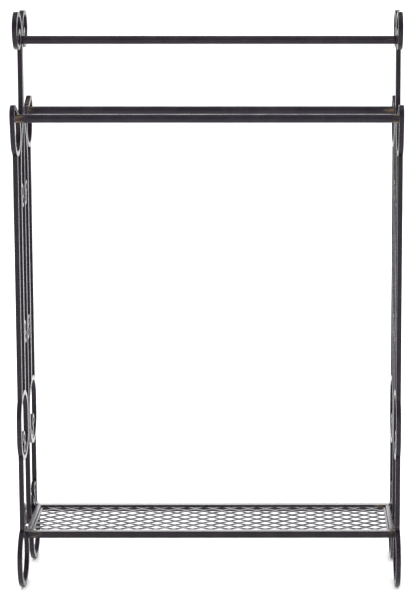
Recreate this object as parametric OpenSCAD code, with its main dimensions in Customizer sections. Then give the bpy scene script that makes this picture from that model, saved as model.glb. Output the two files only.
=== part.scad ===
// Free-standing wrought-iron towel stand: two scrollwork side frames of bent square bar joined by
// three round rails and a low shelf of flat bar and expanded-metal mesh. Millimetres, +Z up, front
// towards -Y. The origin is on the floor at the middle of the footprint.

/* [Overall] */
// distance between the centre planes of the two side frames
frame_span = 582; // [400:2:900]
// distance between the front and back posts, centre to centre
post_span = 150; // [110:1:220]
// height where the ram's-horn scrolls start to curl
horn_z = 854.75; // [700:0.25:1000]

/* [Bar] */
// thickness of the square bar the side frames are bent from
rod_d = 7.5; // [5:0.5:12]
// thickness of the thinner square bar of the small S-scrolls
scroll_d = 5.5; // [4:0.5:8]
// side gap between the two bars of the centre pair
pair_gap = 0.2; // [0.1:0.1:4]

/* [Foot rings] */
// bend radius of a foot ring, on the bar's centre line
foot_r = 40.5; // [25:0.5:55]
// straight part of a foot ring's sides
foot_side = 5; // [2:0.25:40]
// how far a foot ring's centre lies inside its post
foot_shift = 6.5; // [0:0.5:30]

/* [Middle rings] */
// bend radius of a middle ring, on the bar's centre line
mid_r = 37; // [25:0.5:50]
// straight part of a middle ring's sides
mid_side = 28; // [5:0.5:60]
// height of the lower bend centre of a middle ring
mid_z = 237.5; // [180:0.5:320]
// how far a middle ring's centre lies inside its post
mid_shift = 24.5; // [0:0.5:35]

/* [Top rings] */
// large lower bend radius of the egg-shaped top rings
egg_r = 30; // [20:0.5:45]
// small upper bend radius of the egg-shaped top rings
egg_tip_r = 13; // [8:0.5:30]
// height of the large bend's centre
egg_z = 706.5; // [600:0.5:800]
// rise from the large bend's centre to the small one's
egg_rise = 30; // [10:0.5:40]
// how far the large bend's centre lies inside its post
egg_in = 9; // [0:0.5:20]
// how far the small bend's centre lies outside its post
egg_out = 15; // [0:0.5:20]

/* [Scroll bars] */
// height where the centre pair starts to part
part_z = 759; // [700:1:820]
// height over which each bar of the pair swings out to its strand
part_rise = 110; // [60:1:200]
// bend radius of a ram's-horn scroll's first quarter turn
horn_r = 32; // [24:0.5:45]

/* [Towel rails] */
// outside diameter of the three tubular rails
bar_d = 13; // [8:0.5:25]
// wall thickness of the tubes
bar_wall = 1; // [0.8:0.1:3]
// height of the top rail's centre
top_bar_z = 845.5; // [700:0.5:950]
// how far the front and back rails lie inside their posts
bar_in = 4; // [0:0.5:10]
// length of a low rail that shows outside the side frame
bar_proud = 0.5; // [0.25:0.25:10]
// thickness of a rail's end plug outside the tube
plug_t = 1; // [1:0.25:4]

/* [Shelf] */
// height of the shelf rails' upper faces
shelf_z = 88; // [60:0.1:200]
// height of the shelf rails' section
rail_h = 10.7; // [6:0.1:20]
// depth of the front and back shelf rails
rail_d = 12; // [6:0.5:20]
// width of the side shelf rails
side_w = 8; // [5:0.5:20]
// how far the front and back shelf rails' centres lie inside the posts
rail_in = 5; // [0:0.5:10]
// edge chamfer of the shelf rails
rail_c = 0.8; // [0.3:0.1:2]
// width of the flat strip that borders the mesh
border_w = 3.2; // [2:0.2:8]
// thickness of the border strip
border_t = 2; // [1:0.5:4]
// long diagonal of a mesh diamond, along the shelf
mesh_l = 28.6; // [12:0.1:60]
// short diagonal of a mesh diamond, across the shelf
mesh_s = 21.4; // [8:0.1:40]
// width of a mesh strand
strand_w = 2.6; // [1:0.1:4]
// thickness of a mesh strand
strand_t = 1.6; // [1:0.1:3]

/* [Small S-scrolls] */
// bend radius of an S-scroll's two arms
arm_r = 8; // [5:0.25:12]
// turn of each arm
arm_turn = 290; // [200:5:320]
// height of the upper row of S-scrolls
upper_scroll_z = 607; // [500:1:650]
// height of the middle row of S-scrolls
middle_scroll_z = 393; // [320:1:480]

/* [Hidden] */
$fn = 48;

iron = [0.10, 0.09, 0.10];
dark = [0.13, 0.12, 0.13];
rubbed = [0.30, 0.24, 0.17];

left = -1;
right = 1;
front = -1;
back = 1;

seam_in = 0.3;                          // how far a bar's end stops short of a seam's middle
fx = frame_span / 2;                    // centre plane of a side frame
inner_x = fx - rod_d / 2;               // plane of the side frame's inner faces
post_y = post_span / 2;
strand_y = post_span / 4;               // inner strands, halfway between post and centre rod
pair_y = (rod_d + pair_gap) / 2;        // centre pair, next to each other

foot_y = post_y - foot_shift;
foot_z0 = foot_r + rod_d / 2;
foot_z1 = foot_z0 + foot_side;
mid_y = post_y - mid_shift;
mid_z1 = mid_z + mid_side;
egg_y = post_y - egg_in;
tip_y = post_y + egg_out;
tip_z = egg_z + egg_rise;

// height of a circle of radius r above its centre, d to the side
function rise(r, d) = sqrt(r * r - d * d);

foot_out = foot_r + rod_d / 2;
mid_out = mid_r + rod_d / 2;
egg_outer = egg_r + rod_d / 2;
// bars stop where they meet the outside of a ring
low_post_z0 = foot_z1 + rise(foot_out, foot_shift - rod_d / 2);
low_post_z1 = mid_z - rise(mid_out, mid_shift - rod_d / 2);
post_z0 = mid_z1 + rise(mid_out, mid_shift - rod_d / 2);
post_z1 = egg_z - rise(egg_outer, egg_in - rod_d / 2);
strand_z0 = mid_z1 + rise(mid_out, mid_y - strand_y - rod_d / 2);

// swing of a scroll bar from the centre pair out to its strand: two equal and opposite bends
swing = strand_y - pair_y;
swing_a = 2 * atan(swing / part_rise);
swing_r = part_rise / (2 * sin(swing_a));
// the centre bar's top nestles where the parting bars are one bar apart
nest_a = acos(1 - (rod_d - pair_y + 0.25) / swing_r);
center_z1 = part_z - swing_r * sin(nest_a);

// the low rails touch the underside of the top rings' sloping shoulder
egg_len = norm([egg_in + egg_out, egg_rise]);
shoulder_a = acos((egg_tip_r - egg_r) / egg_len) - atan2(egg_rise, egg_in + egg_out);
shoulder = egg_tip_r - egg_out * cos(shoulder_a) + tip_z * sin(shoulder_a);
bar_y = post_y - bar_in;
bar_z = (shoulder - (rod_d + bar_d) / 2 - bar_in * cos(shoulder_a)) / sin(shoulder_a);
bar_x = fx + rod_d / 2 + bar_proud;

rail_y = post_y - rail_in;
rail_in_y = rail_y - rail_d / 2;
side_in_x = inner_x - side_w;
deck_z = shelf_z - rail_h + 6.2;        // underside of the border strip

// S-scroll: two arms about two centres, joined by the tangent that crosses between them
arm_u = (strand_y - rod_d - scroll_d) / 2 - arm_r;
arm_v = 8.25;
arm_gap = 2 * norm([arm_u, arm_v]);
arm_a = acos(2 * arm_r / arm_gap) - atan2(arm_v, arm_u);
scroll_h = arm_v + arm_r + scroll_d / 2;
scroll_y = strand_y / 2;

// ---------- bar pieces, drawn in a flat plane: first axis across the frame, second axis up ----------
module bend(r, a0, a1, d = rod_d) {
    rotate([0, 0, a0]) rotate_extrude(angle = a1 - a0) translate([r, 0]) square(d, center = true);
}

module straight(len, d = rod_d) {
    translate([-d / 2, 0, -d / 2]) cube([d, len, d]);
}

// bar that sets off upwards; a step is [length, 0] or [radius, turn to the left]
module rod(steps, d = rod_d, i = 0) {
    if (i < len(steps)) {
        r = steps[i][0];
        t = steps[i][1];
        if (t == 0) {
            straight(r, d);
            translate([0, r]) rod(steps, d, i + 1);
        } else {
            translate([-r, 0]) {
                bend(r, 0, t, d);
                rotate([0, 0, t]) translate([r, 0]) rod(steps, d, i + 1);
            }
        }
    }
}

// short sleeve where two lengths of bar meet, running up the second axis; both stop inside it
module seam(d = rod_d) {
    cube([d + 0.3, 6 * seam_in, d + 0.3], center = true);
}

// bend whose ends stop inside a seam, with the seam at its far end
module seamed_bend(r, a0, a1, d = rod_d) {
    trim = seam_in / r * 180 / PI;
    bend(r, a0 + trim, a1 - trim, d);
    rotate([0, 0, a1]) translate([r, 0]) seam(d);
}

// closed ring with two straight sides, its lower bend centred on the origin
module long_ring(r, side) {
    bend(r, 180, 360);
    translate([0, side]) bend(r, 0, 180);
    for (s = [-1, 1]) translate([s * r, 0]) straight(side);
}

// closed ring around a large circle at the origin and a small one at p
module egg_ring(r, tip_r, p) {
    c = atan2(p[1], p[0]);
    h = acos((r - tip_r) / norm(p));
    run = sqrt(p * p - pow(r - tip_r, 2));
    seamed_bend(r, c + h, c - h + 360);
    translate(p) seamed_bend(tip_r, c - h, c + h);
    rotate([0, 0, c - h]) translate([r, seam_in]) straight(run - 2 * seam_in);
    rotate([0, 0, c + h]) translate([r, -run + seam_in]) straight(run - 2 * seam_in);
    rotate([0, 0, c + h]) translate([r, 0]) seam();
    translate(p) rotate([0, 0, c - h]) translate([tip_r, 0]) seam();
}

// two arms and the straight that crosses between them
module s_scroll() {
    run = sqrt(pow(arm_gap, 2) - pow(2 * arm_r, 2));
    trim = seam_in / arm_r * 180 / PI;
    for (t = [0, 180]) rotate([0, 0, t]) translate([-arm_u, arm_v]) {
        bend(arm_r, arm_a + trim, arm_a + arm_turn, scroll_d);
        rotate([0, 0, arm_a]) translate([arm_r, 0]) seam(scroll_d);
    }
    translate([-arm_u, arm_v]) rotate([0, 0, arm_a]) translate([arm_r, seam_in - run])
        straight(run - 2 * seam_in, scroll_d);
}

// stands a flat drawing up in a side frame's plane; the drawing is of the front half
module in_frame(side, end = front) {
    translate([side * fx, 0, 0]) mirror([0, end > 0 ? 1 : 0, 0]) rotate([90, 0, 90]) children();
}

// ---------- side frame pieces ----------
module scroll_rod(side, end) {
    low_z = part_z - part_rise;
    trim = seam_in / swing_r * 180 / PI;
    color(iron) in_frame(side, end) {
        translate([-strand_y, strand_z0]) straight(low_z - strand_z0 - seam_in);
        translate([-strand_y, low_z]) seam();
        translate([swing_r - strand_y, low_z]) bend(swing_r, 180 - swing_a + trim, 180 - trim);
        translate([-pair_y - swing_r, part_z]) seamed_bend(swing_r, -swing_a, 0);
        translate([-pair_y - swing_r, part_z]) rotate([0, 0, -swing_a]) translate([swing_r, 0]) seam();
        translate([-pair_y, part_z + seam_in]) rod([
            [horn_z - part_z - seam_in, 0],
            [horn_r, 90],
            [horn_r - 8, 90],
            [horn_r - 5, 90],
            [horn_r - 17, 90],
            [horn_r - 22.5, 90],
            [horn_r - 24.5, 90],
            [horn_r - 26, 90]
        ]);
    }
}

module center_rod(side) {
    z0 = shelf_z - rail_h;
    color(iron) translate([side * fx - rod_d / 2, -rod_d / 2, z0]) cube([rod_d, rod_d, center_z1 - z0]);
}

module post_upper(side, end) {
    color(iron) translate([side * fx - rod_d / 2, end * post_y - rod_d / 2, post_z0])
        cube([rod_d, rod_d, post_z1 - post_z0]);
}

module post_lower(side, end) {
    color(iron) translate([side * fx - rod_d / 2, end * post_y - rod_d / 2, low_post_z0])
        cube([rod_d, rod_d, low_post_z1 - low_post_z0]);
}

module top_ring(side, end) {
    color(iron) in_frame(side, end) translate([-egg_y, egg_z])
        egg_ring(egg_r, egg_tip_r, [egg_y - tip_y, egg_rise]);
}

module mid_ring(side, end) {
    color(iron) in_frame(side, end) translate([-mid_y, mid_z]) long_ring(mid_r, mid_side);
}

module foot_ring(side, end) {
    color(iron) in_frame(side, end) translate([-foot_y, foot_z0]) long_ring(foot_r, foot_side);
}

module s_scroll_pair(side, y, z) {
    color(dark) for (end = [front, back]) in_frame(side, end) translate([-y, z]) s_scroll();
}

module s_scrolls_upper(side) { s_scroll_pair(side, scroll_y, upper_scroll_z); }

module s_scrolls_middle(side) { s_scroll_pair(side, scroll_y, middle_scroll_z); }

// stands on the inside of the middle ring's lower bend
module s_scrolls_ring(side) {
    reach = mid_r - rod_d / 2 - arm_r - scroll_d / 2 - 0.1;
    s_scroll_pair(side, mid_y, mid_z - rise(reach, arm_u) + arm_v);
}

// stands on the foot ring against the lower post
module s_scrolls_shelf(side) {
    y = post_y - rod_d / 2 - arm_r - arm_u - scroll_d / 2;
    reach = foot_out + arm_r + scroll_d / 2 + 0.1;
    s_scroll_pair(side, y, foot_z1 + rise(reach, foot_y - y + arm_u) + arm_v);
}

// ---------- towel rails ----------
module tube_x(half, y, z) {
    translate([-half, y, z]) rotate([0, 90, 0]) difference() {
        cylinder(h = 2 * half, d = bar_d);
        translate([0, 0, -1]) cylinder(h = 2 * half + 2, d = bar_d - 2 * bar_wall);
    }
}

module top_bar() { color(dark) tube_x(inner_x, 0, top_bar_z); }

module front_bar() { color(dark) tube_x(bar_x, -bar_y, bar_z); }

module back_bar() { color(dark) tube_x(bar_x, bar_y, bar_z); }

module plug() {
    r = bar_d / 2 - 0.1;
    stub = bar_d / 2 - bar_wall;
    rotate_extrude() polygon([
        [0, -8], [stub, -8], [stub, 0], [r, 0], [r, plug_t * 0.4], [r - 1.2, plug_t], [0, plug_t]
    ]);
}

module bar_plugs() {
    color(rubbed) for (side = [left, right], end = [front, back])
        translate([side * bar_x, end * bar_y, bar_z]) rotate([0, side * 90, 0]) plug();
}

// ---------- shelf ----------
// bar of chamfered section w wide and rail_h high, its upper face at the origin's height
module flat_bar(w, len) {
    c = rail_c;
    rotate([90, 0, 0]) translate([0, 0, -len / 2]) linear_extrude(len) polygon([
        [-w / 2 + c, 0], [w / 2 - c, 0], [w / 2, -c], [w / 2, c - rail_h], [w / 2 - c, -rail_h],
        [c - w / 2, -rail_h], [-w / 2, c - rail_h], [-w / 2, -c]
    ]);
}

module long_rail(end) {
    color(dark) translate([0, end * rail_y, shelf_z]) rotate([0, 0, 90])
        flat_bar(rail_d, 2 * inner_x);
}

module side_rail(side) {
    color(dark) translate([side * (inner_x - side_w / 2), 0, shelf_z]) flat_bar(side_w, 2 * rail_in_y);
}

module shelf_border() {
    color(dark) translate([0, 0, deck_z]) linear_extrude(border_t) difference() {
        square([2 * side_in_x, 2 * rail_in_y], center = true);
        square([2 * (side_in_x - border_w), 2 * (rail_in_y - border_w)], center = true);
    }
}

module shelf_mesh() {
    w = side_in_x - border_w;
    h = rail_in_y - border_w;
    lean = atan2(mesh_s, mesh_l);
    count = ceil((w + h * mesh_l / mesh_s) / mesh_l);
    color(iron) intersection() {
        translate([-w, -h, deck_z + 0.2]) cube([2 * w, 2 * h, strand_t]);
        for (s = [-1, 1], i = [-count : count])
            translate([i * mesh_l, 0, deck_z + 1]) rotate([0, 0, s * lean])
                cube([2 * h / sin(lean) + mesh_l, strand_w, 4], center = true);
    }
}

scroll_rod(left, front);  // left_scroll_rod_front
scroll_rod(left, back);  // left_scroll_rod_back
center_rod(left);  // left_center_rod
post_upper(left, front);  // left_post_front_upper
post_upper(left, back);  // left_post_back_upper
post_lower(left, front);  // left_post_front_lower
post_lower(left, back);  // left_post_back_lower
top_ring(left, front);  // left_top_ring_front
top_ring(left, back);  // left_top_ring_back
mid_ring(left, front);  // left_mid_ring_front
mid_ring(left, back);  // left_mid_ring_back
foot_ring(left, front);  // left_foot_ring_front
foot_ring(left, back);  // left_foot_ring_back
s_scrolls_upper(left);  // left_s_scrolls_upper
s_scrolls_middle(left);  // left_s_scrolls_middle
s_scrolls_ring(left);  // left_s_scrolls_ring
s_scrolls_shelf(left);  // left_s_scrolls_shelf
scroll_rod(right, front);  // right_scroll_rod_front
scroll_rod(right, back);  // right_scroll_rod_back
center_rod(right);  // right_center_rod
post_upper(right, front);  // right_post_front_upper
post_upper(right, back);  // right_post_back_upper
post_lower(right, front);  // right_post_front_lower
post_lower(right, back);  // right_post_back_lower
top_ring(right, front);  // right_top_ring_front
top_ring(right, back);  // right_top_ring_back
mid_ring(right, front);  // right_mid_ring_front
mid_ring(right, back);  // right_mid_ring_back
foot_ring(right, front);  // right_foot_ring_front
foot_ring(right, back);  // right_foot_ring_back
s_scrolls_upper(right);  // right_s_scrolls_upper
s_scrolls_middle(right);  // right_s_scrolls_middle
s_scrolls_ring(right);  // right_s_scrolls_ring
s_scrolls_shelf(right);  // right_s_scrolls_shelf
top_bar();
front_bar();
back_bar();
bar_plugs();
long_rail(front);  // shelf_rail_front
long_rail(back);  // shelf_rail_back
side_rail(left);  // shelf_rail_left
side_rail(right);  // shelf_rail_right
shelf_border();
shelf_mesh();
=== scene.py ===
import math

import bpy
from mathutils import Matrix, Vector, noise


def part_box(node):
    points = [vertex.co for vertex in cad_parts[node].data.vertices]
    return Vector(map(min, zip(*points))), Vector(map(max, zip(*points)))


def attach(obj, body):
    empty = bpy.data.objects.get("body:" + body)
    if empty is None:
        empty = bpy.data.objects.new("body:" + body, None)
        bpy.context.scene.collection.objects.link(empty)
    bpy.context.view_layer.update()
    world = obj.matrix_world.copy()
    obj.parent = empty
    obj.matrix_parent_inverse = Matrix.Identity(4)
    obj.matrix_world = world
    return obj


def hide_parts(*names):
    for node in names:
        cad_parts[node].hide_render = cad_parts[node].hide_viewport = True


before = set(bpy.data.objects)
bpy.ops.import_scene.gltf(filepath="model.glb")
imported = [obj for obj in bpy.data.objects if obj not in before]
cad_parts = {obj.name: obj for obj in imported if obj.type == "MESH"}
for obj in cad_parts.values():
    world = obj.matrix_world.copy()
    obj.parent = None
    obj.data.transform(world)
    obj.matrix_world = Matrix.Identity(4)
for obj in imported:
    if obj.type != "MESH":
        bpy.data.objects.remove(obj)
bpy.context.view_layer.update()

# Free-standing wrought-iron towel stand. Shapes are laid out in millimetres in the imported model's
# frame (+Z up, front towards -Y) and written to the meshes in metres.
MM = 0.001
SIDES = {"left": -1, "right": 1}
ENDS = {"front": -1, "back": 1}


def box(node):
    """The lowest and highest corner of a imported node, in millimetres."""
    low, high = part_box(node)
    return low * 1000, high * 1000


# ---------- sizes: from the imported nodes, and the radii and heights that a box can't tell ----------
lo, hi = box("left_post_front_upper")
ROD = (hi.x - lo.x) / 2               # half the side of the frames' square bar
FX = abs(lo.x + hi.x) / 2             # from the middle to a side frame's plane
POST_Y = abs(lo.y + hi.y) / 2
POST_Z = (lo.z, hi.z)
lo, hi = box("left_post_front_lower")
LOW_POST_Z = (lo.z, hi.z)
lo, hi = box("left_center_rod")
CENTER_Z = (lo.z, hi.z)
lo, hi = box("left_mid_ring_front")
MID_R = (hi.y - lo.y) / 2 - ROD
MID_Y = abs(lo.y + hi.y) / 2
MID_Z = (lo.z + ROD + MID_R, hi.z - ROD - MID_R)
lo, hi = box("left_foot_ring_front")
FOOT_R = (hi.y - lo.y) / 2 - ROD
FOOT_Y = abs(lo.y + hi.y) / 2
FOOT_Z = (lo.z + ROD + FOOT_R, hi.z - ROD - FOOT_R)
lo, hi = box("left_top_ring_front")
EGG_R, TIP_R = 30.0, 13.0
EGG_Y = abs(hi.y) + ROD + EGG_R
EGG_Z = lo.z + ROD + EGG_R
TIP_Y = max(abs(lo.y) - ROD - TIP_R, EGG_Y + 1)
TIP_Z = hi.z - ROD - TIP_R
lo, hi = box("left_scroll_rod_front")
STRAND_Y = POST_Y / 2
PAIR_Y = abs(hi.y) + ROD
STRAND_Z0 = lo.z
HORN_R = (32.0, 24.0, 27.0, 15.0, 9.5, 7.5, 6.0)     # bend radius of each quarter turn
HORN_Z = hi.z - ROD - HORN_R[0]
PART_Z, PART_RISE = 759.0, 110.0      # where the two scroll rods part, and how far down they swing out
lo, hi = box("top_bar")
BAR_R = (hi.z - lo.z) / 2
TOP_BAR = (hi.x, 0.0, (lo.z + hi.z) / 2)
lo, hi = box("front_bar")
LOW_BAR = (hi.x, abs(lo.y + hi.y) / 2, (lo.z + hi.z) / 2)
PLUG_X = box("bar_plugs")[1].x
lo, hi = box("shelf_rail_front")
RAIL_X, RAIL_Y, RAIL_D = hi.x, abs(lo.y + hi.y) / 2, hi.y - lo.y
RAIL_Z = (lo.z, hi.z)
lo, hi = box("shelf_rail_right")
SIDE_X = (lo.x, hi.x)
SIDE_Y = hi.y
lo, hi = box("shelf_mesh")
MESH_X, MESH_Y, MESH_Z = hi.x, hi.y, (lo.z + hi.z) / 2
lo, hi = box("shelf_border")
STRIP_Z = (lo.z, hi.z)
MESH_L, MESH_S = 28.6, 21.4           # long and short way of a diamond
lo, hi = box("left_s_scrolls_upper")
THIN = (hi.x - lo.x) / 2 - 0.15       # half the side of the S-scrolls' bar
ARM_R, ARM_TURN, ARM_V = 8.0, 290.0, 8.25     # an S-scroll's arm: radius, turn, height over the middle
ARM_U = (STRAND_Y - 2 * ROD - 2 * THIN) / 2 - ARM_R
UPPER_S, MIDDLE_S = 607.0, 393.0      # heights of the middles of two rows of S-scrolls

# how far a bar's square end runs on into the ring it is welded to, until its outer corner is closed
STRAND_INTO_MID = 2.8
POST_INTO_MID = 5.5
POST_INTO_TOP = 2.5
POST_INTO_FOOT = 1.5

# places where hands, towels and welding have rubbed the finish: (x, y, z, reach, strength)
HOT = []


# ---------- mesh tools ----------
def smooth(t):
    """A soft step from 0 to 1."""
    t = min(1.0, max(0.0, t))
    return t * t * (3 - 2 * t)


def rub_at(p):
    """How rubbed the finish is at a point, from 0 to 1."""
    worn = 0.0
    for x, y, z, reach, strength in HOT:
        d2 = (p[0] - x) ** 2 + (p[1] - y) ** 2 + (p[2] - z) ** 2
        if d2 < reach * reach:
            worn = max(worn, strength * smooth(1 - math.sqrt(d2) / reach))
    return worn


def make(name, verts, faces, material, replaces=(), sharp=None):
    """A piece from vertices in millimetres, with how rubbed each one is kept as an attribute."""
    mesh = bpy.data.meshes.new(name)
    mesh.from_pydata([(v[0] * MM, v[1] * MM, v[2] * MM) for v in verts], [], faces)
    mesh.validate()
    mesh.polygons.foreach_set("use_smooth", [True] * len(mesh.polygons))
    worn = mesh.attributes.new("rub", "FLOAT", "POINT")
    worn.data.foreach_set("value", [rub_at(v) for v in verts])
    if sharp:
        mesh.set_sharp_from_angle(angle=math.radians(sharp))
    mesh.materials.append(material)
    obj = bpy.data.objects.new(name, mesh)
    bpy.context.scene.collection.objects.link(obj)
    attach(obj, "root")
    if replaces:
        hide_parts(*replaces)


def resample(points, closed, step, fine):
    """Points at even steps along a path, closer together over the last `fine` at each open end."""
    pts = [Vector(p) for p in points]
    if closed:
        pts.append(pts[0].copy())
    at = [0.0]
    for a, b in zip(pts, pts[1:]):
        at.append(at[-1] + (b - a).length)
    total = at[-1]
    if closed:
        n = max(12, round(total / step))
        want = [total * i / n for i in range(n)]
    else:
        ends = [fine * (1 - math.cos(math.pi / 2 * i / 5)) for i in range(6)]
        n = max(2, round((total - 2 * fine) / step))
        mid = [fine + (total - 2 * fine) * i / n for i in range(1, n)]
        want = ends + mid + [total - e for e in reversed(ends)]
    out, k = [], 0
    for s in want:
        while k < len(at) - 2 and at[k + 1] < s:
            k += 1
        t = (s - at[k]) / max(at[k + 1] - at[k], 1e-9)
        out.append((pts[k].lerp(pts[k + 1], t), s))
    return out, total


def circle(sides):
    """Points of a unit circle."""
    turns = [2 * math.pi * k / sides for k in range(sides)]
    return [(math.cos(t), math.sin(t)) for t in turns]


def square_section(corner, turn=4, lift=0.09):
    """A unit square with rounded corners, and a point close beside each corner that keeps the
    flats flat when the mesh is shaded smooth."""
    section = []
    for cx, cy, a0 in ((1, 1, 0), (-1, 1, 90), (-1, -1, 180), (1, -1, 270)):
        bend = []
        for i in range(turn):
            a = math.radians(a0 + 90 * i / (turn - 1))
            bend.append((cx * (1 - corner) + corner * math.cos(a), cy * (1 - corner) + corner * math.sin(a)))
        up_first = a0 in (0, 180)
        beside_x, beside_y = (-cx * lift, 0), (0, -cy * lift)
        run_in, run_out = (beside_y, beside_x) if up_first else (beside_x, beside_y)
        section.append((bend[0][0] + run_in[0], bend[0][1] + run_in[1]))
        section += bend
        section.append((bend[-1][0] + run_out[0], bend[-1][1] + run_out[1]))
        section.append((0.0, float(cy)) if up_first else (float(cx), 0.0))
    return section


SQUARE = square_section(0.13, turn=3)
CUT_EASE = 0.35                       # a cut end is softened over this share of the bar's half side
DRAWN_DOWN = 0.32                     # how much thinner a tapered tip gets


def close_end(verts, faces, start, count, centre, turned):
    """A fan of triangles from a middle point to the ring of `count` vertices that begins at `start`."""
    c = len(verts)
    verts.append(centre)
    for k in range(count):
        a, b = start + k, start + (k + 1) % count
        faces.append((c, b, a) if turned else (c, a, b))


def tube(points, radius, normal, closed=False, section=SQUARE, step=2.5, tips=("cut", "cut"),
         hammer=0.030, seed=0.0, taper=(0.0, 0.0)):
    """Vertices and faces of a bar swept along a flat path. Its skin is a little uneven, as hot-bent
    bar is, and never stands proud of the section. A tip is cut (a softened flat end) or round."""
    fine = radius * (1.0 if "round" in tips else CUT_EASE)
    sides = len(section)
    path, total = resample(points, closed, step, fine)
    normal = Vector(normal).normalized()
    n = len(path)
    verts, faces = [], []
    for i, (p, s) in enumerate(path):
        a = path[i - 1][0] if closed or i else p
        b = path[(i + 1) % n][0] if closed or i < n - 1 else p
        along = (b - a).normalized()
        across = along.cross(normal).normalized()
        r = radius
        if not closed:
            for d, tip, thin in ((s, tips[0], taper[0]), (total - s, tips[1], taper[1])):
                if thin:
                    r *= 1 - DRAWN_DOWN * smooth(1 - d / thin)
                if tip == "round" and d < radius:
                    r *= math.sqrt(max(0.0, 1 - ((radius - d) / radius) ** 2)) * 0.98 + 0.02
                elif tip == "cut" and d < CUT_EASE * radius:
                    r *= 0.80 + 0.20 * math.sqrt(max(0.0, 1 - (1 - d / (CUT_EASE * radius)) ** 2))
        for u, t in section:
            side = normal * u + across * t
            q = (p + side * radius) * 0.055 + Vector((seed, seed * 0.7, -seed))
            dent = 0.5 + 0.5 * noise.noise(q) + 0.22 * noise.noise(q * 4.1)
            verts.append(p + side * r * (1 - hammer * min(1.0, max(0.0, dent))))
    for i in range(n if closed else n - 1):
        j = (i + 1) % n
        for k in range(sides):
            m = (k + 1) % sides
            faces.append((i * sides + k, j * sides + k, j * sides + m, i * sides + m))
    if not closed:
        close_end(verts, faces, 0, sides, path[0][0].copy(), False)
        close_end(verts, faces, (n - 1) * sides, sides, path[-1][0].copy(), True)
    return verts, faces


def joined(parts):
    """Several lots of vertices and faces as one."""
    verts, faces = [], []
    for v, f in parts:
        n = len(verts)
        verts += v
        faces += [tuple(i + n for i in face) for face in f]
    return verts, faces


def arc(c, r, a0, a1, step=3.0):
    """Points of an arc from angle a0 to a1, about `step` degrees apart."""
    n = max(4, round(abs(a1 - a0) / step))
    return [(c[0] + r * math.cos(math.radians(a0 + (a1 - a0) * i / n)),
             c[1] + r * math.sin(math.radians(a0 + (a1 - a0) * i / n))) for i in range(n + 1)]


def stand(points, side, end):
    """A flat drawing of the front half (first axis across the frame, outwards negative, second
    axis up) stood in a side frame's plane."""
    return [(side * FX, -end * p[0], p[1]) for p in points]


# ---------- joints ----------
def bead(at, reach, seed, sag=0.35):
    """A small uneven blob of weld metal: a squashed ball of rings with ripples."""
    rows, sides = 9, 14
    at, reach = Vector(at), Vector(reach)

    def skin(i, k):
        a = math.pi * i / rows
        w = 2 * math.pi * k / sides
        d = Vector((math.sin(a) * math.cos(w), math.sin(a) * math.sin(w), math.cos(a)))
        q = d * 1.6 + Vector((seed * 3.1, seed, -seed * 1.7))
        lump = 1 - sag * (0.5 + 0.5 * noise.noise(q)) + 0.05 * math.sin(9 * a + seed)
        return at + Vector((d.x * reach.x, d.y * reach.y, d.z * reach.z)) * lump

    verts = [skin(i, k) for i in range(1, rows) for k in range(sides)]
    top, bottom = len(verts), len(verts) + 1
    verts += [skin(0, 0), skin(rows, 0)]
    faces = []
    for i in range(rows):
        above, below = (i - 1) * sides, i * sides
        for k in range(sides):
            m = (k + 1) % sides
            if i == 0:
                faces.append((top, below + k, below + m))
            elif i == rows - 1:
                faces.append((above + k, bottom, above + m))
            else:
                faces.append((above + k, below + k, below + m, above + m))
    return verts, faces


def weld_points():
    """(across, up) of the joints in one half of a side frame, with how far each bead reaches."""
    return [
        (-POST_Y - 0.4, POST_Z[1] + 0.6, 4.2, 2.6), (-POST_Y - 0.8, POST_Z[0] - 2.0, 4.3, 3.0),
        (-POST_Y - 0.8, LOW_POST_Z[1] + 2.0, 4.3, 3.0), (-POST_Y - 0.4, LOW_POST_Z[0] - 0.4, 4.2, 2.4),
        (-STRAND_Y + 0.6, STRAND_Z0 - 1.0, 4.2, 2.8),
    ]


# ---------- materials ----------
def new_material(name):
    """A material with a shader wired to its output: the material, its node tree and the shader."""
    mat = bpy.data.materials.new(name)
    mat.use_nodes = True
    nt = mat.node_tree
    nt.nodes.clear()
    out = nt.nodes.new("ShaderNodeOutputMaterial")
    bsdf = nt.nodes.new("ShaderNodeBsdfPrincipled")
    nt.links.new(bsdf.outputs[0], out.inputs[0])
    return mat, nt, bsdf


def add(nt, kind, **values):
    """A new node with the given socket values and settings."""
    n = nt.nodes.new(kind)
    for k, v in values.items():
        if k in n.inputs:
            n.inputs[k].default_value = v
        else:
            setattr(n, k, v)
    return n


def ramp(nt, source, first, last):
    """A run from one colour to another, each (position, colour)."""
    n = nt.nodes.new("ShaderNodeValToRGB")
    for stop, (at, colour) in zip(n.color_ramp.elements, (first, last)):
        stop.position = at
        stop.color = (*colour, 1)
    nt.links.new(source, n.inputs[0])
    return n.outputs[0]


def remap(nt, source, low, high, to_low=0.0, to_high=1.0, kind="LINEAR"):
    """A socket's run from low to high, as a run from to_low to to_high."""
    n = add(nt, "ShaderNodeMapRange", interpolation_type=kind)
    for socket, value in (("From Min", low), ("From Max", high), ("To Min", to_low), ("To Max", to_high)):
        n.inputs[socket].default_value = value
    nt.links.new(source, n.inputs["Value"])
    return n.outputs[0]


def maths(nt, operation, a, b=None):
    """One sum on a socket and, where given, a second socket or a number."""
    n = add(nt, "ShaderNodeMath", operation=operation)
    nt.links.new(a, n.inputs[0])
    if isinstance(b, float):
        n.inputs[1].default_value = b
    elif b:
        nt.links.new(b, n.inputs[1])
    return n.outputs[0]


def blend(nt, factor, a, b):
    """A mix of two colours, each a socket or a fixed colour."""
    n = nt.nodes.new("ShaderNodeMix")
    n.data_type = "RGBA"
    nt.links.new(factor, n.inputs[0])
    for value, socket in ((a, n.inputs[6]), (b, n.inputs[7])):
        if isinstance(value, tuple):
            socket.default_value = (*value, 1)
        else:
            nt.links.new(value, socket)
    return n.outputs[2]


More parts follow.
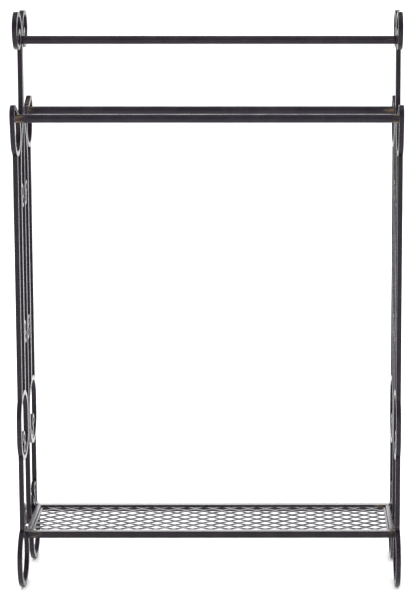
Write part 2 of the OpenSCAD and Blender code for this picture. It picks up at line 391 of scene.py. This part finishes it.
def paint(name, dark, light, rubbed, rough=(0.30, 0.46), grain=(1.0, 1.0, 1.0), wear=1.0, gleam=0.22,
          pale=None):
    """Brushed-on near-black finish over iron: a soft drift of two blacks, brown and old-gold rubbing
    where joints and ends are handled, a fine orange-peel skin and brush strokes. Faces along one axis
    can be painted paler in patches: a painted highlight standing in for the bright surroundings that
    such faces reflect at a grazing angle. pale is (axis, colour)."""
    mat, nt, bsdf = new_material(name)
    place = nt.nodes.new("ShaderNodeTexCoord").outputs["Object"]
    stretch = add(nt, "ShaderNodeMapping", Scale=grain)
    nt.links.new(place, stretch.inputs[0])
    drift = add(nt, "ShaderNodeTexNoise", Scale=38.0, Detail=3.0, Roughness=0.55)
    brush = add(nt, "ShaderNodeTexNoise", Scale=210.0, Detail=5.0, Roughness=0.62, Distortion=0.4)
    peel = add(nt, "ShaderNodeTexNoise", Scale=900.0, Detail=2.0, Roughness=0.5)
    nt.links.new(place, drift.inputs["Vector"])
    nt.links.new(stretch.outputs[0], brush.inputs["Vector"])
    nt.links.new(place, peel.inputs["Vector"])
    fine = brush.outputs["Fac"]
    body = ramp(nt, drift.outputs["Fac"], (0.32, dark), (0.70, light))
    # painted highlight: faces along the axis are mixed, in patches, towards a paler colour that stands in
    # for the bright surroundings reflected in them
    if pale:
        axis, colour = pale
        sheen_facing = nt.nodes.new("ShaderNodeSeparateXYZ")
        nt.links.new(nt.nodes.new("ShaderNodeTexCoord").outputs["Normal"], sheen_facing.inputs[0])
        flat = remap(nt, maths(nt, "ABSOLUTE", sheen_facing.outputs[axis]), 0.86, 0.985, kind="SMOOTHSTEP")
        sheen_patches = remap(nt, fine, 0.34, 0.60, to_low=0.35)
        body = blend(nt, maths(nt, "MULTIPLY", flat, sheen_patches), body, colour)
    # rubbed through where the brush noise is high, and more of it where the rub is strong
    worn = add(nt, "ShaderNodeAttribute", attribute_name="rub")
    total = maths(nt, "ADD", maths(nt, "MULTIPLY", worn.outputs["Fac"], 0.42 * wear), fine)
    mask = remap(nt, total, 0.66, 0.90, kind="SMOOTHSTEP")
    gold = ramp(nt, fine, (0.40, rubbed[0]), (0.62, rubbed[1]))
    nt.links.new(blend(nt, mask, body, gold), bsdf.inputs["Base Color"])
    nt.links.new(remap(nt, fine, 0.30, 0.70, rough[0], rough[1]), bsdf.inputs["Roughness"])
    bsdf.inputs["Specular IOR Level"].default_value = gleam
    bsdf.inputs["Metallic"].default_value = 0.0
    skin = add(nt, "ShaderNodeBump", Strength=0.22, Distance=0.00012)
    nt.links.new(peel.outputs["Fac"], skin.inputs["Height"])
    strokes = add(nt, "ShaderNodeBump", Strength=0.30, Distance=0.00035)
    nt.links.new(fine, strokes.inputs["Height"])
    nt.links.new(skin.outputs[0], strokes.inputs["Normal"])
    nt.links.new(strokes.outputs[0], bsdf.inputs["Normal"])
    return mat


GOLD = ((0.042, 0.029, 0.019), (0.170, 0.120, 0.068))
FRAME_BLACKS = ((0.0085, 0.0050, 0.0100), (0.0150, 0.0100, 0.0175))
iron = paint("brushed_black_iron", *FRAME_BLACKS, GOLD, rough=(0.26, 0.40))
# painted highlight: the sideways faces (along x) of the scroll bars, rings and S-scrolls are painted paler,
# in place of the bright backdrop they reflect at a grazing angle
curl_paint = paint("scrollwork_black", *FRAME_BLACKS, GOLD, rough=(0.20, 0.34),
                   pale=(0, (0.105, 0.098, 0.110)))
rail_paint = paint("rail_black", (0.0115, 0.0080, 0.0142), (0.0205, 0.0150, 0.0245), GOLD,
                   rough=(0.32, 0.46), grain=(0.10, 1.0, 1.0))
# painted highlight: faces turned up or down on the shelf rails and border strip are painted paler, in place
# of the bright surroundings their top faces reflect at a grazing angle
shelf_paint = paint("shelf_black", (0.0080, 0.0055, 0.0090), (0.0142, 0.0100, 0.0158), GOLD,
                    rough=(0.24, 0.36), grain=(0.15, 0.8, 1.0), pale=(2, (0.105, 0.098, 0.115)))
# painted highlight: faces turned up or down on the mesh strands are painted paler, in place of the bright
# surroundings their top faces reflect at a grazing angle
mesh_paint = paint("mesh_black", (0.0100, 0.0070, 0.0115), (0.0180, 0.0140, 0.0200), GOLD,
                   rough=(0.22, 0.36), wear=0.6, gleam=0.30, pale=(2, (0.150, 0.142, 0.160)))


# ---------- rubbed places ----------
for s in (-1, 1):
    for e in (-1, 1):
        HOT.append((s * (PLUG_X - 6), e * LOW_BAR[1], LOW_BAR[2] + 1, 34, 0.66))
        HOT.append((s * (RAIL_X - 8), e * RAIL_Y, RAIL_Z[1], 30, 0.62))
        for a, b in ((POST_Y, POST_Z[1]), (POST_Y, POST_Z[0]), (POST_Y, LOW_POST_Z[1]),
                     (POST_Y, LOW_POST_Z[0]), (STRAND_Y, STRAND_Z0)):
            HOT.append((s * FX, e * a, b, 11, 0.34))
        HOT.append((s * FX, e * FOOT_Y, 4, 20, 0.25))
        for y, z in ((STRAND_Y / 2, UPPER_S), (STRAND_Y / 2, MIDDLE_S)):
            HOT.append((s * FX, e * y, z, 15, 0.30))
    HOT.append((s * (FX - 6), 0, TOP_BAR[2], 16, 0.30))
    HOT.append((s * FX, 0, CENTER_Z[0] + 6, 18, 0.45))


# ---------- side frames ----------
def scroll_path():
    """Half of the centre pair, drawn from its foot on the middle ring to the tip of the horn."""
    swing = STRAND_Y - PAIR_Y
    a = math.degrees(2 * math.atan(swing / PART_RISE))
    r = PART_RISE / (2 * math.sin(math.radians(a)))
    low = PART_Z - PART_RISE
    pts = [(-STRAND_Y, STRAND_Z0 - STRAND_INTO_MID)]
    pts += arc((r - STRAND_Y, low), r, 180, 180 - a)
    pts += arc((-PAIR_Y - r, PART_Z), r, -a, 0)
    x, z, head = -PAIR_Y, HORN_Z, 0.0
    for radius in HORN_R:
        h = math.radians(head)
        c = (x - radius * math.cos(h), z - radius * math.sin(h))
        leg = arc(c, radius, head, head + 90, 4.0)
        pts += leg
        x, z = leg[-1]
        head += 90
    return pts


def long_ring_path(cy, z, r):
    """A ring of two half circles about the heights z, joined by straight sides."""
    return arc((-cy, z[0]), r, 180, 360) + arc((-cy, z[1]), r, 0, 180)


def egg_path():
    """A top ring: a large arc below and a small one above, joined by their common tangents."""
    p = (EGG_Y - TIP_Y, TIP_Z - EGG_Z)
    c = math.degrees(math.atan2(p[1], p[0]))
    h = math.degrees(math.acos((EGG_R - TIP_R) / math.hypot(*p)))
    return (arc((-EGG_Y, EGG_Z), EGG_R, c + h, c - h + 360)
            + arc((-TIP_Y, TIP_Z), TIP_R, c - h, c + h))


def s_path(y, z):
    """An S-scroll: two curled arms, joined by the tangent that crosses between them."""
    gap = 2 * math.hypot(ARM_U, ARM_V)
    a = math.degrees(math.acos(2 * ARM_R / gap) - math.atan2(ARM_V, ARM_U))
    top = arc((-ARM_U, ARM_V), ARM_R, a + ARM_TURN, a, 5.0)
    low = arc((ARM_U, -ARM_V), ARM_R, a + 180, a + 180 + ARM_TURN, 5.0)
    return [(p[0] - y, p[1] + z) for p in top + low]


X = (1, 0, 0)
TOUCH = 0.1                           # clearance between an S-scroll and the ring it rests on
in_ring = MID_R - ROD - ARM_R - THIN - TOUCH
ring_s_z = MID_Z[0] - math.sqrt(in_ring ** 2 - ARM_U ** 2) + ARM_V
shelf_s_y = POST_Y - ROD - ARM_R - ARM_U - THIN
over_foot = FOOT_R + ROD + ARM_R + THIN + TOUCH
shelf_s_z = FOOT_Z[1] + math.sqrt(over_foot ** 2 - (FOOT_Y - shelf_s_y + ARM_U) ** 2) + ARM_V

for side_name, s in SIDES.items():
    for end_name, e in ENDS.items():
        tag = f"{side_name}_{end_name}"
        seed = 3.0 * s + 7.0 * e
        v, f = tube(stand(scroll_path(), s, e), ROD, X, tips=("cut", "round"), taper=(0, 26), seed=seed)
        make(f"{tag}_scroll_rod_bent", v, f, curl_paint, [f"{side_name}_scroll_rod_{end_name}"])
        for part, z in (("upper", (POST_Z[0] - POST_INTO_MID, POST_Z[1] + POST_INTO_TOP)),
                        ("lower", (LOW_POST_Z[0] - POST_INTO_FOOT, LOW_POST_Z[1] + POST_INTO_MID))):
            v, f = tube(stand([(-POST_Y, z[0]), (-POST_Y, z[1])], s, e), ROD, X, seed=seed + z[0])
            make(f"{tag}_post_{part}_bar", v, f, iron, [f"{side_name}_post_{end_name}_{part}"])
        rings = (("top", egg_path()), ("mid", long_ring_path(MID_Y, MID_Z, MID_R)),
                 ("foot", long_ring_path(FOOT_Y, FOOT_Z, FOOT_R)))
        for part, path in rings:
            v, f = tube(stand(path, s, e), ROD, X, closed=True, seed=seed + len(part))
            make(f"{tag}_{part}_ring_bent", v, f, curl_paint, [f"{side_name}_{part}_ring_{end_name}"])
        v, f = joined([bead((s * FX, -e * a, b), (w, w, h), seed + b * 0.1) for a, b, w, h in weld_points()])
        make(f"{tag}_frame_welds", v, f, iron)
    v, f = tube([(s * FX, 0, CENTER_Z[0]), (s * FX, 0, CENTER_Z[1])], ROD, X, seed=9.0 * s)
    make(f"{side_name}_center_rod_bar", v, f, iron, [f"{side_name}_center_rod"])
    for row, y, z in (("upper", STRAND_Y / 2, UPPER_S), ("middle", STRAND_Y / 2, MIDDLE_S),
                      ("ring", MID_Y, ring_s_z), ("shelf", shelf_s_y, shelf_s_z)):
        pair = [tube(stand(s_path(y, z), s, e), THIN, X, tips=("round", "round"), taper=(9, 9),
                     step=1.6, seed=z * 0.1 + e) for e in (-1, 1)]
        v, f = joined(pair)
        make(f"{side_name}_s_scrolls_{row}_bent", v, f, curl_paint, [f"{side_name}_s_scrolls_{row}"])


# ---------- towel rails ----------
for name, (half, y, z), e in (("top", TOP_BAR, 0), ("front", LOW_BAR, -1), ("back", LOW_BAR, 1)):
    v, f = tube([(-half, e * y, z), (half, e * y, z)], BAR_R, (0, 1, 0), section=circle(28), step=4.0,
                hammer=0.018, seed=21.0 + e)
    make(f"{name}_towel_rail", v, f, rail_paint, [f"{name}_bar"])


def lathe(profile, x, y, z, direction, sides=28, seed=0.0):
    """A turned shape along the x axis, its profile (distance, radius), a touch uneven."""
    verts, faces = [], []
    for d, r in profile:
        for k in range(sides):
            w = 2 * math.pi * k / sides
            wob = 1 - 0.012 * (0.5 + 0.5 * noise.noise(Vector((d, 2 * math.cos(w), 2 * math.sin(w) + seed))))
            verts.append((x + direction * d, y + r * wob * math.cos(w), z + r * wob * math.sin(w)))
    rows = len(profile)
    for i in range(rows - 1):
        for k in range(sides):
            m = (k + 1) % sides
            quad = (i * sides + k, (i + 1) * sides + k, (i + 1) * sides + m, i * sides + m)
            faces.append(quad if direction < 0 else quad[::-1])
    for row, turned in ((0, direction < 0), (rows - 1, direction > 0)):
        close_end(verts, faces, row * sides, sides, (x + direction * profile[row][0], y, z), turned)
    return verts, faces


# an end cap: a stem inside the rail and a low dome outside, as shares of its reach and of the rail's radius
CAP = ((-4, 0.80), (-0.15, 0.80), (0, 0.93), (0.23, 0.975),
       (0.53, 0.93), (0.77, 0.78), (0.92, 0.53), (0.985, 0.23))
cap_reach = PLUG_X - LOW_BAR[0]
cap = [(d * cap_reach, r * BAR_R) for d, r in CAP]
caps = [lathe(cap, s * LOW_BAR[0], e * LOW_BAR[1], LOW_BAR[2], s, seed=s + 2 * e)
        for s in (-1, 1) for e in (-1, 1)]
v, f = joined(caps)
make("rail_end_caps", v, f, rail_paint, ["bar_plugs"])


# ---------- shelf ----------
def flat_bar(p0, p1, across, w, h, r=1.1, step=5.0, seed=0.0, dent=0.10):
    """A flat bar between two points, its section w across by h up with softened corners, its faces
    a touch uneven, its ends eased."""
    p0, p1, across = Vector(p0), Vector(p1), Vector(across)
    up = Vector((0, 0, 1))
    axis = (p1 - p0).normalized()
    total = (p1 - p0).length
    ease = 0.7
    near = ease * 0.3
    n = max(4, round(total / step))
    at = [0, near, ease] + [ease + (total - 2 * ease) * i / n for i in range(1, n)]
    at += [total - ease, total - near, total]
    inset = [ease, near, 0] + [0] * (n - 1) + [0, near, ease]
    ring = []
    for cx, cy, a0 in ((1, 1, 0), (-1, 1, 90), (-1, -1, 180), (1, -1, 270)):
        for i in range(5):
            a = math.radians(a0 + 22.5 * i)
            ring.append((cx * (w / 2 - r) + r * math.cos(a), cy * (h / 2 - r) + r * math.sin(a)))
    # more points on the long faces, so that they can be a little uneven
    dense = []
    for a, b in zip(ring, ring[1:] + ring[:1]):
        d = math.hypot(b[0] - a[0], b[1] - a[1])
        k = max(1, round(d / 2.2))
        dense += [(a[0] + (b[0] - a[0]) * i / k, a[1] + (b[1] - a[1]) * i / k) for i in range(k)]
    m, verts, faces = len(dense), [], []
    for s, shy in zip(at, inset):
        for u, t in dense:
            q = p0 + axis * s + across * u + up * t
            d = dent * (0.5 + 0.5 * noise.noise(q * 0.06 + Vector((seed, 0, 0))))
            k = 1 - (shy + d) / max(w, h) * 2
            verts.append(p0 + axis * s + across * (u * k) + up * (t * k))
    for i in range(len(at) - 1):
        for k in range(m):
            j = (k + 1) % m
            faces.append((i * m + k, i * m + j, (i + 1) * m + j, (i + 1) * m + k))
    close_end(verts, faces, 0, m, p0 + axis * at[0], True)
    close_end(verts, faces, (len(at) - 1) * m, m, p0 + axis * at[-1], False)
    return verts, faces


mid = (RAIL_Z[0] + RAIL_Z[1]) / 2
tall = RAIL_Z[1] - RAIL_Z[0]
for name, e in ENDS.items():
    v, f = flat_bar((-RAIL_X, e * RAIL_Y, mid), (RAIL_X, e * RAIL_Y, mid), (0, 1, 0), RAIL_D, tall,
                    seed=5.0 * e)
    make(f"{name}_shelf_rail_bar", v, f, shelf_paint, [f"shelf_rail_{name}"])
for name, s in SIDES.items():
    x = s * (SIDE_X[0] + SIDE_X[1]) / 2
    v, f = flat_bar((x, -SIDE_Y, mid), (x, SIDE_Y, mid), (-1, 0, 0), SIDE_X[1] - SIDE_X[0], tall,
                    seed=11.0 * s)
    make(f"{name}_shelf_rail_bar", v, f, shelf_paint, [f"shelf_rail_{name}"])

strip_z = (STRIP_Z[0] + STRIP_Z[1]) / 2
strip_w, strip_t = SIDE_X[0] - MESH_X, STRIP_Z[1] - STRIP_Z[0]
strips = []
for e in (-1, 1):
    y = e * (SIDE_Y - strip_w / 2)
    strips.append(flat_bar((-SIDE_X[0], y, strip_z), (SIDE_X[0], y, strip_z), (0, 1, 0), strip_w,
                           strip_t, r=0.35, seed=e + 31.0, dent=0.05))
    x = e * (SIDE_X[0] - strip_w / 2)
    strips.append(flat_bar((x, -MESH_Y, strip_z), (x, MESH_Y, strip_z), (-1, 0, 0), strip_w,
                           strip_t, r=0.35, seed=e + 37.0, dent=0.05))
v, f = joined(strips)
make("shelf_border_strip", v, f, shelf_paint, ["shelf_border"])

# Expanded metal: wavy strands side by side, each joined to its neighbour at every other crest. The
# strands lean, so that a joint is one sloping land and each strand steps down from land to land.
LEAN = math.radians(7)
STRAND_W, STRAND_T = 3.1, 1.7
CHAMFER = 0.16
STRAND_STEP = 1.45                    # between the sections of a strand
CREST = 0.035                         # share of a period over which a crest is rounded
FLANK = 1.16                          # how much steeper a flank is than a plain zigzag's
UNDER_BORDER = 1.5                    # how far a strand's ends run in under the border strip
SIDE_LIMIT = MESH_Y + 1.4             # how far the outermost strands may sway
RISE = STRAND_W * math.sin(LEAN)
SWAY = MESH_S / 4 - STRAND_W * math.cos(LEAN) / 2


def wave(t):
    """From -1 to 1 and back once a period, with straight flanks and flattened crests."""
    height = 0.0
    for shift in (-CREST, 0.0, CREST):
        q = (t + shift) % 1.0
        tri = 4 * abs(q - 0.5) - 1
        height += max(-1.0, min(1.0, FLANK * tri)) / 3
    return height


def strand(k):
    """One wavy strand along the shelf, the k-th from the middle."""
    verts, faces = [], []
    length = 2 * (MESH_X + UNDER_BORDER)
    n = round(length / STRAND_STEP)
    wide, tall = STRAND_W / 2, STRAND_T / 2
    flat, side = wide - CHAMFER, tall - CHAMFER
    section = [(flat, tall), (-flat, tall), (-wide, side), (-wide, -side),
               (-flat, -tall), (flat, -tall), (wide, -side), (wide, side)]
    for i in range(n + 1):
        x = -MESH_X - UNDER_BORDER + length * i / n
        swing = wave(x / MESH_L + (0.5 if k % 2 else 0.0))
        y = (k + 0.5) * MESH_S / 2 + SWAY * swing
        y = max(-SIDE_LIMIT, min(SIDE_LIMIT, y))
        z = MESH_Z - RISE / 2 * swing
        wob = 0.25 * noise.noise(Vector((x * 0.09, k * 3.7, 1.0)))
        turn = LEAN * (0.82 + 0.18 * (1 - abs(swing))) + 0.12 * noise.noise(Vector((x * 0.05, k * 5.1, 4.0)))
        for u, t in section:
            verts.append((x, y + wob + u * math.cos(turn) - t * math.sin(turn),
                          z + u * math.sin(turn) + t * math.cos(turn)))
    m = len(section)
    for i in range(n):
        for a in range(m):
            b = (a + 1) % m
            faces.append((i * m + a, (i + 1) * m + a, (i + 1) * m + b, i * m + b))
    faces.append(tuple(range(m)))
    faces.append(tuple(n * m + a for a in reversed(range(m))))
    return verts, faces


half_rows = math.ceil(MESH_Y / (MESH_S / 2))
v, f = joined([strand(k) for k in range(-half_rows, half_rows)])
make("shelf_expanded_mesh", v, f, mesh_paint, ["shelf_mesh"], sharp=40)

# welds that hold rails, shelf and frames together
beads = []
for s in (-1, 1):
    beads.append(bead((s * (TOP_BAR[0] - 0.6), 0, TOP_BAR[2] - 5.0), (2.2, 5.0, 2.4), 3.0 + s))
    beads.append(bead((s * (TOP_BAR[0] - 0.6), 0, TOP_BAR[2] + 5.0), (2.2, 5.0, 2.2), 4.0 + s))
    beads.append(bead((s * SIDE_X[1], 0, RAIL_Z[1] - 0.6), (3.2, 4.2, 1.9), 8.0 + s))
    for e in (-1, 1):
        beads.append(bead((s * FX, e * (LOW_BAR[1] + 3.0), LOW_BAR[2] + 5.9), (4.3, 4.4, 2.0), 5.0 + s + e))
        beads.append(bead((s * (RAIL_X - 0.3), e * RAIL_Y, RAIL_Z[1] - 0.7), (2.4, 5.0, 1.7), 6.0 + s + e))
        beads.append(bead((s * (SIDE_X[1] - 4), e * SIDE_Y, RAIL_Z[1] - 1.0), (4.2, 2.0, 1.3), 7.0 + s + e))
v, f = joined(beads)
make("rail_and_shelf_welds", v, f, iron)


# ---------- floor, light, camera ----------
def floor_piece():
    """A wide pale disc."""
    mat, nt, bsdf = new_material("floor")
    place = nt.nodes.new("ShaderNodeTexCoord").outputs["Object"]
    cloud = add(nt, "ShaderNodeTexNoise", Scale=1.5, Detail=2.0)
    nt.links.new(place, cloud.inputs["Vector"])
    pale_grey = ramp(nt, cloud.outputs["Fac"], (0.3, (0.90, 0.90, 0.90)), (0.7, (0.93, 0.93, 0.93)))
    nt.links.new(pale_grey, bsdf.inputs["Base Color"])
    bsdf.inputs["Roughness"].default_value = 0.9
    bsdf.inputs["Specular IOR Level"].default_value = 0.1
    mesh = bpy.data.meshes.new("studio_floor")
    n, r = 64, 30.0
    verts = [(0, 0, 0)] + [(r * math.cos(2 * math.pi * i / n), r * math.sin(2 * math.pi * i / n), 0)
                           for i in range(n)]
    mesh.from_pydata(verts, [], [(0, 1 + i, 1 + (i + 1) % n) for i in range(n)])
    mesh.materials.append(mat)
    obj = bpy.data.objects.new("studio_floor", mesh)
    bpy.context.scene.collection.objects.link(obj)
    return obj


floor_piece()

world = bpy.data.worlds.new("studio")
bpy.context.scene.world = world
world.use_nodes = True
nt = world.node_tree
nt.nodes.clear()
world_out = nt.nodes.new("ShaderNodeOutputWorld")
# the surroundings light the stand as a pale room does, and show dimmer in its gloss
soft = add(nt, "ShaderNodeBackground", Color=(1, 1, 1, 1), Strength=1.60)
dim = add(nt, "ShaderNodeBackground", Color=(1, 1, 1, 1), Strength=0.34)
kind = nt.nodes.new("ShaderNodeLightPath")
pick = nt.nodes.new("ShaderNodeMixShader")
nt.links.new(kind.outputs["Is Glossy Ray"], pick.inputs[0])
nt.links.new(soft.outputs[0], pick.inputs[1])
nt.links.new(dim.outputs[0], pick.inputs[2])
nt.links.new(pick.outputs[0], world_out.inputs[0])


def panel(name, at, aim, width, height, bright):
    """A soft box of a given radiance, unseen by the camera."""
    light = bpy.data.lights.new(name, "AREA")
    light.shape = "RECTANGLE"
    light.size, light.size_y = width, height
    light.energy = bright * math.pi * width * height
    obj = bpy.data.objects.new(name, light)
    obj.location = at
    obj.rotation_mode = "QUATERNION"
    obj.rotation_quaternion = (Vector(aim) - Vector(at)).to_track_quat("-Z", "Y")
    obj.visible_camera = False
    bpy.context.scene.collection.objects.link(obj)


panel("side_panel", (-0.22, 0.55, 0.34), (-0.22, 0, 0.34), 0.50, 0.66, 0.55)
panel("far_panel", (-0.15, 3.5, 1.55), (0, 0, 0.4), 3.0, 1.3, 4.2)
panel("front_panel", (0.1, -3.6, 1.1), (0, 0, 0.5), 3.2, 2.4, 0.05)
panel("top_panel", (0, -0.1, 2.3), (0, 0, 0), 1.8, 1.4, 0.8)

camera = bpy.data.cameras.new("camera")
camera.lens = 114.83
camera.sensor_width = 36.0
camera.sensor_fit = "AUTO"
camera.shift_x, camera.shift_y = -0.13, -0.17
camera.clip_start, camera.clip_end = 0.05, 100.0
eye = bpy.data.objects.new("camera", camera)
bpy.context.scene.collection.objects.link(eye)
eye.location = (0.115, -2.950, 1.000)
eye.rotation_euler = (math.radians(90 - 7.72), 0, math.radians(-0.076))
bpy.context.scene.camera = eye

view = bpy.context.scene.view_settings
view.view_transform = "Standard"
view.look = "None"
